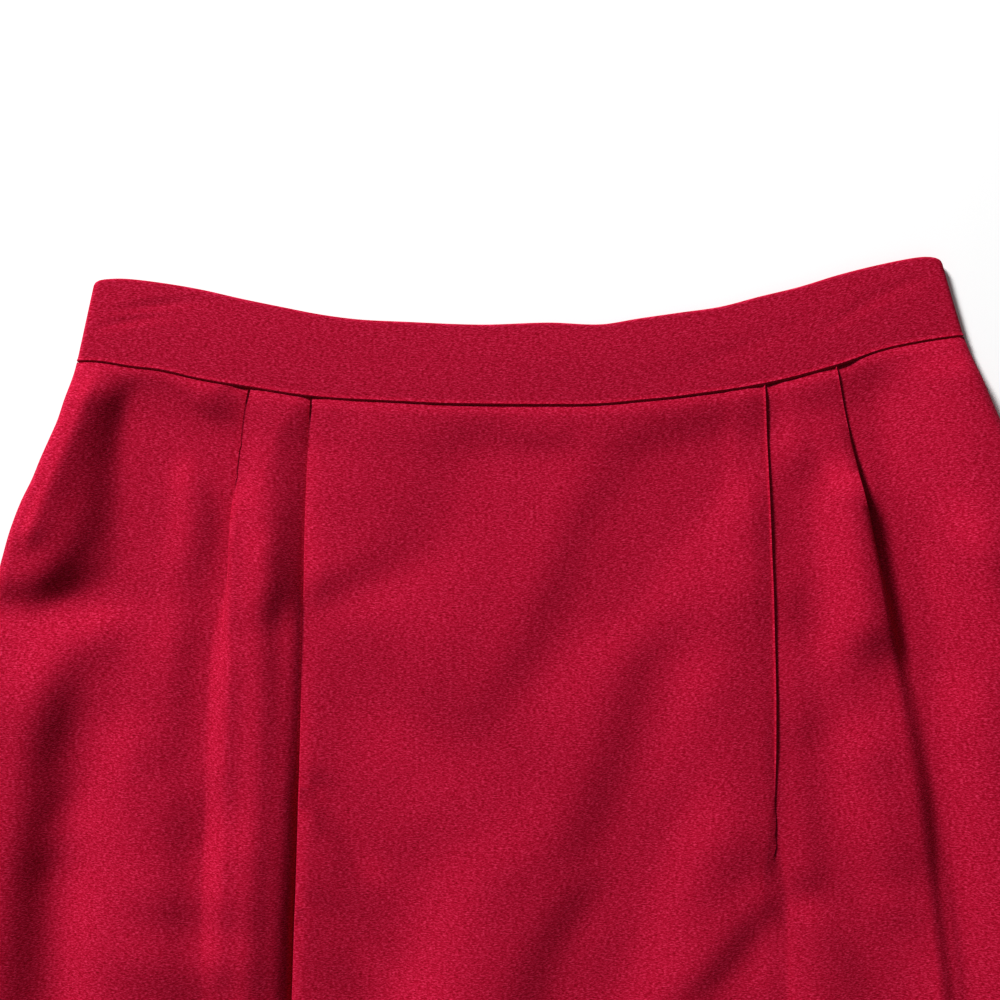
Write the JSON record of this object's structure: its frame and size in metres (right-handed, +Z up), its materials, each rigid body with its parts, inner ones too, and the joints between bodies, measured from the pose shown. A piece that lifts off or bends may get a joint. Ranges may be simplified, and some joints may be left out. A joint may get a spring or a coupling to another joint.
{
  "type": "pencil skirt laid flat",
  "caption": "Straight high-hipped skirt with a shaped waistband and soft front pleats, laid flat with its front up.",
  "frame": {"origin": "centre of the outline's box, on the surface the skirt lies on", "axes": "+X to the right of the skirt as seen from above, +Y from the hem to the waist, +Z up from the surface"},
  "size_m": [0.4702, 0.6452, 0.0102],
  "materials": {
    "skirt_cloth": "matt pebbled crepe, red",
    "band_cloth": "matt pebbled crepe, red, firmer with its inner layer"
  },
  "bodies": {
    "root": {"front_panel": "skirt_cloth", "back_left": "skirt_cloth", "back_right": "skirt_cloth", "waistband": "band_cloth"}
  },
  "joints": []
}
